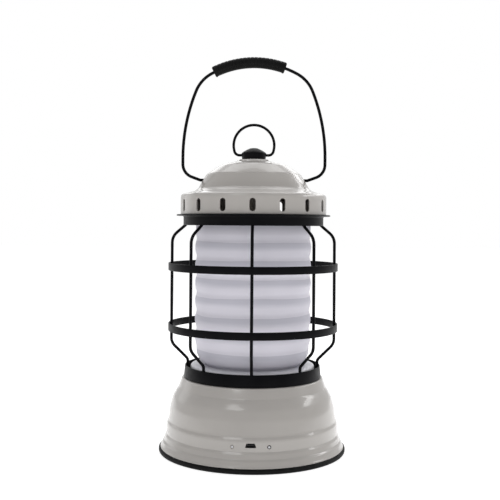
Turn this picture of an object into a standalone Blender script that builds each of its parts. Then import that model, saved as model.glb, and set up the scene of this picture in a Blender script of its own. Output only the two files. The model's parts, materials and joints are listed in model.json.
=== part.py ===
"""A rechargeable camping lantern with a wire cage, a frosted ribbed diffuser and a swinging bail.

Every dimension below is in millimetres, and MM turns it into Blender's metres. The lantern stands on
z = 0 with its axis on +Z. The charging port faces -Y and the dimmer knob faces +Y.
"""

import math

import bmesh
import bpy
from mathutils import Matrix, Vector

MM = 0.001
GAP = 0.3  # clear distance left between pieces that rest on each other
ROUND = 32  # sides of the large turned pieces
SMALL_ROUND = 20  # sides of the small turned pieces
INWARD = -1  # Solidify's offset that keeps an outline as a sheet's outer side
SHARP_ANGLE = math.radians(30)  # edges steeper than this keep a crisp shade

# Heights of the main levels
COLLAR_BOTTOM, COLLAR_TOP = 60.4, 69.9
DECK_TOP = 70.3
FLANGE_BOTTOM, FLANGE_TOP = 190.6, 191.8
BAND_TOP = 205.6
CROWN_TOP = 236.3

# Base
SHEET = 1.0  # steel sheet of the base and the vented cap
CROWN_SHEET = 0.8
FOOT_RADIUS, FOOT_INNER, FOOT_HEIGHT = 75.9, 69.9, 3.7
SHELL_BOTTOM = 4.0
PLATE_BOTTOM, PLATE_TOP, PLATE_RADIUS = 2.2, 3.8, 69.5
POST_RADIUS, POST_CIRCLE = 3.6, 44.0
POST_ANGLES = (60, 180, 300)
SCREW_RADIUS, SCREW_HEAD_RADIUS, SCREW_HEAD = 1.3, 2.8, 1.2
SCREW_HOLE = SCREW_RADIUS + GAP

# Electronics in the base
CELL_RADIUS, CELL_LENGTH, CELL_Y, CELL_Z = 9.2, 65.0, 10.2, 14.6
BOARD_SIZE = (30.0, 19.0, 1.6)
BOARD_CENTRE = (0.0, -56.2, 16.4)
PORT_WIDTH, PORT_DEPTH = 7.6, 5.6
PORT_BOTTOM, PORT_TOP, PORT_FACE = 17.5, 21.4, -67.8
PIPE_X, PIPE_Z, PIPE_RADIUS = 13.8, 18.9, 1.3

# Dimmer, on the back of the base
DIMMER_Z = 37.0
BUSHING_RADIUS, SHAFT_RADIUS = 3.6, 2.2
KNOB_RADIUS, KNOB_INNER_Y, KNOB_OUTER_Y = 7.5, 68.7, 75.6
KNOB_FLUTES = 12

# Cage
WIRE_RADIUS = 1.2
WIRE_COUNT = 8
CAGE_RADIUS = 66.4  # of the wires' centre line
BAND_INNER, BAND_OUTER, BAND_HEIGHT = 67.9, 68.8, 6.0
BAND_CENTRES = {"cage_band_lower": 101.0, "cage_band_upper": 149.7}

# Diffuser
RIB_PITCH, RIB_COUNT, RIB_DEPTH = 14.5, 6, 1.3
FIRST_GROOVE, GROOVE_RADIUS = 85.3, 45.9

# Cap
VENT_COUNT, VENT_WIDTH, VENT_HEIGHT, VENT_Z = 16, 4.7, 10.0, 198.8
CAP_RADIUS = 59.1
BELL_TOP = 224.0

# Bail and hang ring
PIVOT_Z = 219.7
BAIL_RADIUS = 1.25
BAIL_HOLE = 1.75
BAIL_TOP_Z = 314.8
BAIL_TOP_ARC, BAIL_TOP_ANGLE = 73.0, 28.3
BAIL_END_X = 35.5
RETAINER_X, RETAINER_RADIUS = 37.0, 2.7
GRIP_RADIUS, GRIP_HALF_ANGLE, GRIP_REST_ANGLE = 4.6, 23.4, -3.4
GRIP_BORE = BAIL_RADIUS + GAP
GRIP_CENTRE_Z = BAIL_TOP_Z - BAIL_TOP_ARC
RING_WIRE = 1.1
RING_Z = 240.1
RING_RADIUS = 16.5
RING_TOP_Z = 264.6
RING_END_X = 5.2


# ---------------------------------------------------------------- scene and materials

def clear_scene():
    for obj in list(bpy.data.objects):
        bpy.data.objects.remove(obj, do_unlink=True)


def new_collection(name):
    collection = bpy.data.collections.new(name)
    bpy.context.scene.collection.children.link(collection)
    return collection


def new_material(name, colour, roughness, metallic=0.0):
    material = bpy.data.materials.new(name)
    material.use_nodes = True
    shader = material.node_tree.nodes["Principled BSDF"]
    shader.inputs["Base Color"].default_value = (*colour, 1.0)
    shader.inputs["Roughness"].default_value = roughness
    shader.inputs["Metallic"].default_value = metallic
    return material


clear_scene()
LANTERN = new_collection("camping_lantern")
CUTTERS = new_collection("cutters")

STONE_PAINT = new_material("stone_paint", (0.56, 0.53, 0.49), 0.25)
BLACK_PAINT = new_material("black_paint", (0.012, 0.012, 0.013), 0.45)
RUBBER = new_material("rubber", (0.015, 0.015, 0.016), 0.7)
FROSTED = new_material("frosted_plastic", (0.75, 0.75, 0.8), 0.5)
WHITE_PLASTIC = new_material("white_plastic", (0.72, 0.72, 0.74), 0.45)
BLACK_PLASTIC = new_material("black_plastic", (0.02, 0.02, 0.021), 0.5)
STEEL = new_material("plain_steel", (0.42, 0.40, 0.37), 0.35, 1.0)
ALUMINIUM = new_material("aluminium", (0.7, 0.7, 0.71), 0.35, 1.0)
SILICONE = new_material("silicone", (0.6, 0.6, 0.6), 0.6)
BOARD_GREEN = new_material("circuit_board", (0.02, 0.16, 0.07), 0.5)
CELL_WRAP = new_material("cell_wrap", (0.05, 0.16, 0.5), 0.4)
LED_YELLOW = new_material("led_phosphor", (0.85, 0.72, 0.2), 0.5)
CLEAR_PIPE = new_material("light_pipe", (0.8, 0.8, 0.82), 0.15)


# ---------------------------------------------------------------- making solids

def add_object(name, data, material=None, cutter=False):
    obj = bpy.data.objects.new(name, data)
    (CUTTERS if cutter else LANTERN).objects.link(obj)
    if cutter:
        obj.hide_render = True
        obj.display_type = "WIRE"
    else:
        data.materials.append(material)
    return obj


def add_bmesh(name, bm, material=None, cutter=False):
    mesh = bpy.data.meshes.new(name)
    bmesh.ops.recalc_face_normals(bm, faces=bm.faces)
    bm.to_mesh(mesh)
    bm.free()
    mesh.shade_smooth()
    mesh.set_sharp_from_angle(angle=SHARP_ANGLE)
    return add_object(name, mesh, material, cutter)


def turned(name, outline, material, sides=ROUND, axis=None, closed=True):
    """Turns an outline of (radius, height) points about Z. It runs down its outer side.

    A closed outline's last point is joined to its first, unless both are on the axis.
    axis, a matrix, moves the turned piece off the lantern's own axis.
    """
    solid_core = outline[0][0] == 0 and outline[-1][0] == 0
    bm = bmesh.new()
    verts = [bm.verts.new((r * MM, 0, z * MM)) for r, z in outline]
    following = verts[1:] + verts[:1] if closed and not solid_core else verts[1:]
    for first, second in zip(verts, following):
        bm.edges.new((first, second))
    mesh = bpy.data.meshes.new(name)
    bm.to_mesh(mesh)
    bm.free()
    obj = add_object(name, mesh, material)
    screw = obj.modifiers.new("turn", "SCREW")
    screw.axis = "Z"
    screw.steps = sides
    screw.render_steps = sides
    screw.use_smooth_shade = True
    screw.use_merge_vertices = True
    screw.merge_threshold = 0.00001
    if axis is not None:
        obj.matrix_world = axis
    return obj


def shell(name, outline, thickness, material):
    """A turned sheet. The outline is its outer side, listed downwards, and the sheet lies inside it."""
    obj = turned(name, outline, material, closed=False)
    solidify = obj.modifiers.new("sheet", "SOLIDIFY")
    solidify.thickness = thickness * MM
    solidify.offset = INWARD
    solidify.use_even_offset = True
    return obj


def rounded_path(corners, radii, steps=4):
    """A polyline in a plane, with each inner corner replaced by an arc of the given radius."""
    path = [Vector(corners[0])]
    for i, radius in enumerate(radii, start=1):
        corner = Vector(corners[i])
        inward = (Vector(corners[i - 1]) - corner).normalized()
        outward = (Vector(corners[i + 1]) - corner).normalized()
        half = inward.angle(outward) / 2
        bisector = (inward + outward).normalized()
        centre = corner + bisector * radius / math.sin(half)
        start = corner + inward * radius / math.tan(half) - centre
        end = corner + outward * radius / math.tan(half) - centre
        turn = start.angle_signed(end)
        for k in range(steps + 1):
            path.append(centre + Matrix.Rotation(-turn * k / steps, 2) @ start)
    path.append(Vector(corners[-1]))
    return path


def tube(name, points, radius, material, resolution=2):
    """A round wire along points given in millimetres."""
    curve = bpy.data.curves.new(name, "CURVE")
    curve.dimensions = "3D"
    curve.bevel_depth = radius * MM
    curve.bevel_resolution = resolution
    curve.use_fill_caps = True
    spline = curve.splines.new("POLY")
    spline.points.add(len(points) - 1)
    for target, point in zip(spline.points, points):
        target.co = (*(c * MM for c in point), 1)
    return add_object(name, curve, material)


def solid_tube(name, points, radius, material=None, cutter=False):
    """A round tube as a mesh, which a Boolean can use."""
    curve = tube(name, points, radius, material, 4)
    bpy.context.view_layer.update()
    graph = bpy.context.evaluated_depsgraph_get()
    bm = bmesh.new()
    bm.from_mesh(bpy.data.meshes.new_from_object(curve.evaluated_get(graph)))
    matrix = curve.matrix_world.copy()
    bpy.data.objects.remove(curve, do_unlink=True)
    bmesh.ops.remove_doubles(bm, verts=bm.verts, dist=0.000001)
    obj = add_bmesh(name, bm, material, cutter)
    obj.matrix_world = matrix
    return obj


def box(name, centre, size, material=None, cutter=False):
    bm = bmesh.new()
    bmesh.ops.create_cube(bm, size=1)
    bmesh.ops.scale(bm, vec=Vector(size) * MM, verts=bm.verts)
    bmesh.ops.translate(bm, vec=Vector(centre) * MM, verts=bm.verts)
    return add_bmesh(name, bm, material, cutter)


def put_origin(obj, height):
    """Moves an object's origin to a height on the lantern's axis, which leaves its shape where it is."""
    shift = Vector((0, 0, height * MM))
    obj.data.transform(Matrix.Translation(-shift))
    obj.location += shift


def add_cylinder(bm, radius, length, placed, sides):
    """Adds a cylinder along its own Z to bm, and returns its vertices. placed is its matrix."""
    size = radius * MM
    made = bmesh.ops.create_cone(
        bm, cap_ends=True, segments=sides, radius1=size, radius2=size, depth=length * MM, matrix=placed
    )
    return made["verts"]


def at(x, y, z, towards="Z"):
    """The matrix that stands a shape at a point in millimetres, with its Z along a world axis."""
    turn = {"X": Matrix.Rotation(math.pi / 2, 4, "Y"), "Y": Matrix.Rotation(-math.pi / 2, 4, "X")}
    return Matrix.Translation(Vector((x, y, z)) * MM) @ turn.get(towards, Matrix())


def cylinder(name, radius, length, placed, material=None, sides=SMALL_ROUND, cutter=False):
    bm = bmesh.new()
    add_cylinder(bm, radius, length, placed, sides)
    return add_bmesh(name, bm, material, cutter)


def prism_cutter(name, outline, y_from, y_to):
    """An (x, z) outline carried along Y."""
    bm = bmesh.new()
    face = bm.faces.new([bm.verts.new((x * MM, y_from * MM, z * MM)) for x, z in outline])
    moved = bmesh.ops.extrude_face_region(bm, geom=[face])["geom"]
    verts = [v for v in moved if isinstance(v, bmesh.types.BMVert)]
    bmesh.ops.translate(bm, vec=(0, (y_to - y_from) * MM, 0), verts=verts)
    return add_bmesh(name, bm, cutter=True)


def combine(obj, other, operation="DIFFERENCE"):
    boolean = obj.modifiers.new(other.name, "BOOLEAN")
    boolean.operation = operation
    boolean.object = other
    boolean.solver = "EXACT"


def around(angle, radius):
    """The x and y of a point at an angle in degrees from +X, on a circle about the lantern's axis."""
    return radius * math.cos(math.radians(angle)), radius * math.sin(math.radians(angle))


# ---------------------------------------------------------------- base

def base_shell():
    outline = [
        (49.5, 60.1),
        (57.2, 60.1),
        (58.4, 57.4),
        (59.2, 54.6),
        (60.0, 52.0),
        (61.5, 49.5),
        (63.6, 45.8),
        (65.3, 41.6),
        (66.4, 37.2),
        (67.1, 32.4),
        (68.0, 25.4),
        (69.3, 24.2),
        (69.5, 16.0),
        (70.3, 13.0),
        (72.0, 9.2),
        (74.5, SHELL_BOTTOM + 0.8),
        (74.5, SHELL_BOTTOM),
    ]
    cover = shell("base_shell", outline, SHEET, STONE_PAINT)
    window = [(-3.1, 21.7), (3.1, 21.7), (4.2, 20.1), (4.2, 18.5), (-4.2, 18.5), (-4.2, 20.1)]
    combine(cover, prism_cutter("port_window", window, -72, -66))
    for side in (-1, 1):
        placed = at(side * PIPE_X, -68, PIPE_Z, "Y")
        hole = cylinder("pipe_hole", PIPE_RADIUS + GAP, 8, placed, sides=12, cutter=True)
        combine(cover, hole)
    dimmer_hole = cylinder("dimmer_hole", BUSHING_RADIUS + GAP, 12, at(0, 66, DIMMER_Z, "Y"), cutter=True)
    combine(cover, dimmer_hole)


def foot_ring():
    """A rubber ring under the shell's edge, with a lip that stands up inside it."""
    outline = [
        (71.2, 7.4),
        (72.9, FOOT_HEIGHT),
        (75.3, FOOT_HEIGHT),
        (FOOT_RADIUS, 3.0),
        (FOOT_RADIUS, 1.1),
        (75.0, 0),
        (FOOT_INNER, 0),
        (FOOT_INNER, 7.4),
    ]
    turned("foot_ring", outline, RUBBER)


def base_plate():
    plate = turned(
        "base_plate",
        [(0, PLATE_TOP), (PLATE_RADIUS, PLATE_TOP), (PLATE_RADIUS, PLATE_BOTTOM), (0, PLATE_BOTTOM)],
        BLACK_PLASTIC,
    )
    bm = bmesh.new()
    for x in (-12, 12):
        top = BOARD_CENTRE[2] - BOARD_SIZE[2] / 2 - GAP
        height = top - PLATE_TOP + 1
        add_cylinder(bm, 2.2, height, at(x, -49.5, top - height / 2), 12)
    standoffs = add_bmesh("board_standoffs", bm, cutter=True)
    combine(plate, standoffs, "UNION")
    for i, angle in enumerate(POST_ANGLES):
        x, y = around(angle, POST_CIRCLE)
        combine(plate, cylinder("plate_hole", SCREW_HOLE, 8, at(x, y, PLATE_TOP), sides=12, cutter=True))
        screw(f"base_screw_{i + 1}", x, y, PLATE_BOTTOM - 0.2, 11, upwards=True)


def screw(name, x, y, z_head, length, upwards):
    """A pan-head screw whose head's seat is at z_head. Its shank points up or down."""
    shank = SCREW_RADIUS - GAP / 3
    outline = [
        (0, length),
        (shank, length),
        (shank, 0),
        (SCREW_HEAD_RADIUS, 0),
        (SCREW_HEAD_RADIUS, -0.5),
        (2.0, -SCREW_HEAD),
        (0.9, -SCREW_HEAD),
        (0.9, -0.5),
        (0, -0.5),
    ]
    placed = at(x, y, z_head)
    if not upwards:
        placed = placed @ Matrix.Rotation(math.pi, 4, "X")
    turned(name, outline, STEEL, 8, placed)


def batteries():
    cradle = box("battery_cradle", (0, 0, 11.1), (71, 42.5, 14), BLACK_PLASTIC)
    for side, name in ((-1, "battery_cell_front"), (1, "battery_cell_rear")):
        placed = at(0, side * CELL_Y, CELL_Z, "X")
        combine(cradle, cylinder("cell_seat", CELL_RADIUS + 2 * GAP, CELL_LENGTH + 2, placed, cutter=True))
        # The positive end carries a small raised contact, and the two cells point opposite ways.
        half = CELL_LENGTH / 2
        contact = [(0, half), (3, half), (3, half - 1)]
        outline = [*contact, (CELL_RADIUS, half - 1.2), (CELL_RADIUS, -half), (0, -half)]
        turned(name, outline, CELL_WRAP, 20, placed @ Matrix.Rotation(math.pi * (side > 0), 4, "X"))


def control_board():
    board = box("control_board", BOARD_CENTRE, BOARD_SIZE, BOARD_GREEN)
    for x in (-12, 12):
        combine(board, cylinder("board_hole", 1.2, 4, at(x, -49.5, BOARD_CENTRE[2]), sides=12, cutter=True))


def usb_port():
    depth = PORT_DEPTH
    centre = (0, PORT_FACE + depth / 2, (PORT_BOTTOM + PORT_TOP) / 2)
    port = box("usb_port", centre, (PORT_WIDTH, depth, PORT_TOP - PORT_BOTTOM), ALUMINIUM)
    mouth = [(-2.6, 21.0), (2.6, 21.0), (3.4, 20.2), (3.4, 19.1), (-3.4, 19.1), (-3.4, 20.2)]
    combine(port, prism_cutter("port_mouth", mouth, PORT_FACE - 1, PORT_FACE + 4.6))
    combine(port, box("port_tongue", (0, PORT_FACE + 3.2, 20.3), (4.0, 4.4, 0.5), cutter=True), "UNION")


def light_pipes():
    for side, name in ((-1, "charge_light_pipe"), (1, "power_light_pipe")):
        placed = at(side * PIPE_X, -68.4, PIPE_Z, "Y")
        outline = [(0, 5.6), (PIPE_RADIUS, 5.6), (PIPE_RADIUS, 0.3), (PIPE_RADIUS - 0.4, 0), (0, 0)]
        turned(name, outline, CLEAR_PIPE, 12, placed)


def dimmer():
    pot = box("dimmer_pot", (0, 57.4, DIMMER_Z), (12, 7, 14), BLACK_PLASTIC)
    combine(pot, cylinder("pot_bushing", BUSHING_RADIUS, 9, at(0, 65, DIMMER_Z, "Y"), cutter=True), "UNION")
    combine(pot, cylinder("pot_bore", SHAFT_RADIUS + GAP, 14, at(0, 66, DIMMER_Z, "Y"), cutter=True))

    nut = cylinder("dimmer_nut", 5.8, 1.9, at(0, 68.5, DIMMER_Z, "Y"), STEEL, sides=6)
    combine(nut, cylinder("nut_bore", BUSHING_RADIUS + GAP, 6, at(0, 68, DIMMER_Z, "Y"), cutter=True))

    axis = at(0, 0, DIMMER_Z, "Y")
    turned(
        "dimmer_shaft",
        [(0, 73.5), (SHAFT_RADIUS, 73.5), (SHAFT_RADIUS, 59.4), (0, 59.4)],
        STEEL,
        SMALL_ROUND,
        axis,
    )
    knob = turned(
        "dimmer_knob",
        [
            (0, KNOB_OUTER_Y),
            (6.4, KNOB_OUTER_Y),
            (KNOB_RADIUS, 74.8),
            (KNOB_RADIUS, KNOB_INNER_Y),
            (6.4, KNOB_INNER_Y),
            (6.4, 70.0),
            (SHAFT_RADIUS + GAP, 70.0),
            (SHAFT_RADIUS + GAP, 73.9),
            (0, 73.9),
        ],
        BLACK_PAINT,
        SMALL_ROUND,
        axis,
    )
    bm = bmesh.new()
    for i in range(KNOB_FLUTES):
        # Turned half a step, so that the pointer groove falls between two flutes.
        angle = 2 * math.pi * (i + 0.5) / KNOB_FLUTES
        x, z = (KNOB_RADIUS + 0.5) * math.sin(angle), (KNOB_RADIUS + 0.5) * math.cos(angle)
        add_cylinder(bm, 1.0, 12, at(x, 72, DIMMER_Z + z, "Y"), 8)
    combine(knob, add_bmesh("knob_flutes", bm, cutter=True))
    combine(knob, box("knob_pointer", (0, KNOB_OUTER_Y, DIMMER_Z + 4.2), (1.0, 1.2, 4.0), cutter=True))


def collar_ring():
    outline = [
        (53.8, COLLAR_TOP),
        (54.9, COLLAR_TOP),
        (55.9, COLLAR_BOTTOM),
        (50.0, COLLAR_BOTTOM),
        (50.0, COLLAR_BOTTOM + 1.0),
        (54.6, COLLAR_BOTTOM + 1.0),
    ]
    turned("collar_ring", outline, BLACK_PAINT)


def deck():
    outline = [
        (0, DECK_TOP),
        (36.2, DECK_TOP),
        (36.2, 68.2),
        (39.0, 68.2),
        (39.0, DECK_TOP),
        (49.6, DECK_TOP),
        (50.4, DECK_TOP - 0.8),
        (50.4, COLLAR_BOTTOM + 1.3),
        (48.4, COLLAR_BOTTOM + 1.3),
        (48.4, 66.2),
        (0, 66.2),
    ]
    plate = turned("deck", outline, WHITE_PLASTIC)
    bm = bmesh.new()
    post_bottom = PLATE_TOP + GAP
    for angle in POST_ANGLES:
        x, y = around(angle, POST_CIRCLE)
        add_cylinder(bm, POST_RADIUS, 67 - post_bottom, at(x, y, (67 + post_bottom) / 2), 12)
    combine(plate, add_bmesh("deck_posts", bm, cutter=True), "UNION")
    for angle in POST_ANGLES:
        x, y = around(angle, POST_CIRCLE)
        bore = cylinder("post_bore", SCREW_RADIUS, 18, at(x, y, post_bottom), sides=12, cutter=True)
        combine(plate, bore)


# ---------------------------------------------------------------- light source and diffuser

def light_source():
    turned("heat_sink", [(0, 73.8), (31, 73.8), (32, 72.8), (32, 70.6), (0, 70.6)], ALUMINIUM, 36)
    turned("led_board", [(0, 75.6), (30, 75.6), (30, 74.1), (0, 74.1)], WHITE_PLASTIC, 36)
    for i in range(6):
        x, y = around(60 * i + 30, 20)
        box(f"led_emitter_{i + 1}", (x, y, 76.4), (3.5, 3.5, 0.9), LED_YELLOW)


def diffuser():
    """A translucent sleeve with six soft ribs, whose bowl-shaped foot drops into the deck."""
    ribs = []
    steps = 3
    for i in range(steps * RIB_COUNT, -1, -1):
        crest = abs(math.sin(math.pi * i / steps))
        ribs.append((GROOVE_RADIUS + RIB_DEPTH * crest, FIRST_GROOVE + RIB_PITCH * i / steps))
    outline = [
        (46.0, 190.0),
        (46.5, 187.0),
        (46.5, 175.5),
        *ribs,
        (44.6, 80.2),
        (42.0, 75.0),
        (39.4, 71.6),
        (38.6, 69.9),
        (36.6, 69.9),
        (36.6, 71.6),
        (40.2, 75.6),
        (43.4, 85.3),
        (43.6, 172.3),
        (44.2, 190.0),
    ]
    turned("diffuser", outline, FROSTED)
    turned("lower_gasket", [(36.5, 69.6), (38.7, 69.6), (38.7, 68.5), (36.5, 68.5)], SILICONE)
    turned("upper_gasket", [(43.6, 191.8), (46.2, 191.8), (46.2, 190.3), (43.6, 190.3)], SILICONE)


# ---------------------------------------------------------------- cage

def cage_wires():
    lower_end = [(52.4, 62.0), (52.4, 73.6), (CAGE_RADIUS, 88.0)]
    upper_end = [(CAGE_RADIUS, 172.9), (53.4, 182.4), (53.4, 189.8)]
    corners = lower_end + upper_end
    profile = rounded_path(corners, [4.0, 9.0, 8.0, 3.0], 3)
    for i in range(WIRE_COUNT):
        turn = 2 * math.pi * i / WIRE_COUNT
        points = [(r * math.sin(turn), -r * math.cos(turn), z) for r, z in profile]
        tube(f"cage_wire_{i + 1}", points, WIRE_RADIUS, BLACK_PAINT)


def cage_bands():
    for name, centre in BAND_CENTRES.items():
        top, bottom = centre + BAND_HEIGHT / 2, centre - BAND_HEIGHT / 2
        outline = [(BAND_INNER, top), (BAND_OUTER, top), (BAND_OUTER, bottom), (BAND_INNER, bottom)]
        turned(name, outline, BLACK_PAINT)


def top_ring():
    outline = [
        (50.6, FLANGE_TOP),
        (62.0, FLANGE_TOP),
        (62.4, 191.2),
        (62.0, FLANGE_BOTTOM),
        (56.8, FLANGE_BOTTOM),
        (56.8, 183.0),
        (55.5, 183.0),
        (55.5, FLANGE_BOTTOM),
        (50.6, FLANGE_BOTTOM),
    ]
    ring = turned("top_ring", outline, BLACK_PAINT)
    plate = turned(
        "ceiling_plate",
        [(2.5, 193.1), (57.6, 193.1), (57.6, 192.1), (2.5, 192.1)],
        STEEL,
    )
    for i, angle in enumerate((112.5, 202.5, 337.5)):
        x, y = around(angle, 53.0)
        hole = cylinder("ceiling_hole", SCREW_HOLE, 6, at(x, y, 192), sides=12, cutter=True)
        combine(ring, hole)
        combine(plate, hole)
        screw(f"ceiling_screw_{i + 1}", x, y, 193.4, 5, upwards=False)


# ---------------------------------------------------------------- cap

def vented_cap():
    outline = [
        (31.0, BELL_TOP),
        (37.6, BELL_TOP),
        (38.6, 223.5),
        (41.2, 220.7),
        (42.4, 218.7),
        (44.2, 214.7),
        (45.8, 212.7),
        (48.0, 210.9),
        (56.6, 208.3),
        (58.4, 207.4),
        (CAP_RADIUS, BAND_TOP),
        (CAP_RADIUS, FLANGE_TOP + GAP),
    ]
    cap = shell("vented_cap", outline, SHEET, STONE_PAINT)
    bm = bmesh.new()
    lift = (VENT_HEIGHT - VENT_WIDTH) / 2
    for i in range(VENT_COUNT):
        # A 12-sided cylinder with its upper and lower halves moved apart is a slot with round ends.
        turn = Matrix.Rotation(2 * math.pi * i / VENT_COUNT, 4, "Z")
        tilt = Matrix.Rotation(math.radians(15), 4, "Y")
        placed = Matrix.Translation((0, -CAP_RADIUS * MM, 0)) @ tilt @ Matrix.Rotation(-math.pi / 2, 4, "X")
        verts = add_cylinder(bm, VENT_WIDTH / 2 / math.cos(math.radians(15)), 8, placed, 12)
        for vert in verts:
            vert.co.z += math.copysign(lift, vert.co.z) * MM
        bmesh.ops.transform(bm, matrix=Matrix.Translation((0, 0, VENT_Z * MM)) @ turn, verts=verts)
    combine(cap, add_bmesh("vent_slots", bm, cutter=True))
    combine(cap, cylinder("bail_holes", BAIL_HOLE, 100, at(0, 0, PIVOT_Z, "X"), sides=16, cutter=True))


def crown_cap():
    outline = [
        (2.6, CROWN_TOP),
        (12.9, CROWN_TOP),
        (13.7, 235.6),
        (14.2, 234.4),
        (24.4, 232.7),
        (28.6, 231.0),
        (32.1, 228.5),
        (37.9, 225.0),
        (37.9, BELL_TOP + GAP),
    ]
    shell("crown_cap", outline, CROWN_SHEET, STONE_PAINT)


def stud():
    turned("centre_stud", [(0, 241.2), (2.0, 241.2), (2.0, 188.4), (0, 188.4)], STEEL, 12)
    turned("stud_sleeve", [(2.5, 235.0), (8.0, 235.0), (8.0, 193.4), (2.5, 193.4)], STEEL, 20)
    nut = cylinder("stud_nut", 4.0, 2.2, at(0, 0, 190.7), STEEL, sides=6)
    combine(nut, cylinder("stud_nut_bore", 2.3, 6, at(0, 0, 190.7), sides=12, cutter=True))


def finial():
    outline = [
        (0, 245.9),
        (2.0, 245.7),
        (4.4, 244.6),
        (9.6, 241.9),
        (10.1, 241.0),
        (9.4, CROWN_TOP + GAP),
        (2.3, CROWN_TOP + GAP),
        (2.3, 242.2),
        (0, 242.2),
    ]
    knob = turned("finial", outline, BLACK_PLASTIC, SMALL_ROUND)
    for side in (-1, 1):
        placed = at(side * (RING_END_X - 0.5 + 5), 0, RING_Z, "X")
        combine(knob, cylinder("ring_hole", RING_WIRE + GAP, 10, placed, sides=12, cutter=True))


# ---------------------------------------------------------------- hang ring and bail

def walk(start, heading, moves):
    """Points along a wire in the XZ plane. heading is in degrees below +X, and each move is a straight
    length or a bend (radius, degrees, steps). Positive degrees turn the wire downwards and inwards."""
    x, z = start
    points = [(x, z)]
    for move in moves:
        if not isinstance(move, tuple):
            x += move * math.cos(math.radians(heading))
            z -= move * math.sin(math.radians(heading))
            points.append((x, z))
            continue
        radius, turn, steps = move
        sign = math.copysign(1, turn)
        centre_x = x - sign * radius * math.sin(math.radians(heading))
        centre_z = z - sign * radius * math.cos(math.radians(heading))
        for k in range(1, steps + 1):
            angle = math.radians(heading + turn * k / steps)
            x = centre_x + sign * radius * math.sin(angle)
            z = centre_z + sign * radius * math.cos(angle)
            points.append((x, z))
        heading += turn
    return points


def mirrored(half):
    """A whole wire in the XZ plane, as 3-D points, from its +X half that starts at x = 0."""
    return [(-x, 0, z) for x, z in reversed(half[1:])] + [(x, 0, z) for x, z in half]


def bail_half():
    """The bail's +X half, from the middle of its top arc to its end inside the cap."""
    above = [(BAIL_TOP_ARC, BAIL_TOP_ANGLE, 6), (28.0, 39.7, 5), (144.0, 22.0, 4)]
    below = [(11.0, 70.0, 5), 6.8, (4.0, 20.0, 2)]
    lowest = walk((0, BAIL_TOP_Z), 0, above + below)[-1][1]
    points = walk((0, BAIL_TOP_Z), 0, above + [lowest - PIVOT_Z] + below)
    points.append((BAIL_END_X, PIVOT_Z))
    return points


def bail():
    wire = tube("bail_wire", mirrored(bail_half()), BAIL_RADIUS, BLACK_PAINT)
    put_origin(wire, PIVOT_Z)
    for side, name in ((-1, "bail_retainer_left"), (1, "bail_retainer_right")):
        placed = at(side * RETAINER_X, 0, PIVOT_Z, "X")
        disc = cylinder(name, RETAINER_RADIUS, 0.8, placed, STEEL, sides=16)
        bore = cylinder("retainer_bore", BAIL_RADIUS + GAP, 4, placed, sides=12, cutter=True)
        combine(disc, bore)
        put_origin(disc, PIVOT_Z)


def grip_path(overrun):
    """Points along the bail's top arc under the grip, and overrun degrees past each of its ends."""
    steps = 12
    reach = GRIP_HALF_ANGLE + overrun
    points = []
    for i in range(steps + 1):
        turn = math.radians(GRIP_REST_ANGLE - reach + 2 * reach * i / steps)
        x, rise = BAIL_TOP_ARC * math.sin(turn), BAIL_TOP_ARC * math.cos(turn)
        points.append((x, 0, GRIP_CENTRE_Z + rise))
    return points


def bail_grip():
    """A moulded sleeve that follows the bail's top arc and can slide a little along it."""
    grip = solid_tube("bail_grip", grip_path(0), GRIP_RADIUS, RUBBER)
    combine(grip, solid_tube("grip_bore", grip_path(1.5), GRIP_BORE, cutter=True))
    put_origin(grip, GRIP_CENTRE_Z)


def hang_ring():
    """A D-shaped wire ring whose two ends turn in the finial."""
    arc_angle = 102.0
    corner = (4.2, 180 - arc_angle, 4)
    half = walk((0, RING_TOP_Z), 0, [(RING_RADIUS, arc_angle, 12), corner])
    # A short straight between the large arc and the corner takes up the height that is left.
    straight = (half[-1][1] - RING_Z) / math.sin(math.radians(arc_angle))
    half = walk((0, RING_TOP_Z), 0, [(RING_RADIUS, arc_angle, 12), straight, corner])
    half.append((RING_END_X, RING_Z))
    put_origin(tube("hang_ring", mirrored(half), RING_WIRE, BLACK_PAINT), RING_Z)


base_shell()
foot_ring()
base_plate()
batteries()
control_board()
usb_port()
light_pipes()
dimmer()
collar_ring()
deck()
light_source()
diffuser()
cage_wires()
cage_bands()
top_ring()
vented_cap()
crown_cap()
stud()
finial()
hang_ring()
bail()
bail_grip()
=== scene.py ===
"""The looks of the camping lantern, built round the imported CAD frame.

Lengths are in millimetres, and MM turns them into Blender's metres. Only the lights and the floor are given
in metres. Every piece is made in the row frame: the lantern stands on z = 0, its axis is +Z and its port
faces -Y.
"""

import json
import math

import bmesh
import bpy
from mathutils import Matrix, Vector


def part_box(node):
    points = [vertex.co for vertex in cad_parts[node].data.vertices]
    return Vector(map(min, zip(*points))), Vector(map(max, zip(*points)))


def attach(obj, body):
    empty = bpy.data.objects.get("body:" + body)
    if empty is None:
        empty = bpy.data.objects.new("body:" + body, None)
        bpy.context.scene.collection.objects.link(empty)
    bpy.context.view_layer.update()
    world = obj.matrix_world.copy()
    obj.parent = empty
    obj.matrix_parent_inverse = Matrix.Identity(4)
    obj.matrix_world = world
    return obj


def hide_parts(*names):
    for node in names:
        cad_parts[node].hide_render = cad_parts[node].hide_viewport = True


MM = 0.001
SIDES = 192  # round the large turned pieces
SMALL_SIDES = 64
RIB_FOOT, RIB_PITCH, RIBS = 85.3, 14.5, 6  # the diffuser's ribs
END_SHADE_SPAN = 200  # the height over which the painted shade at the diffuser's ends is laid out, counted from the floor
SHARP = math.radians(28)  # edges steeper than this keep a crisp shade

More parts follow.
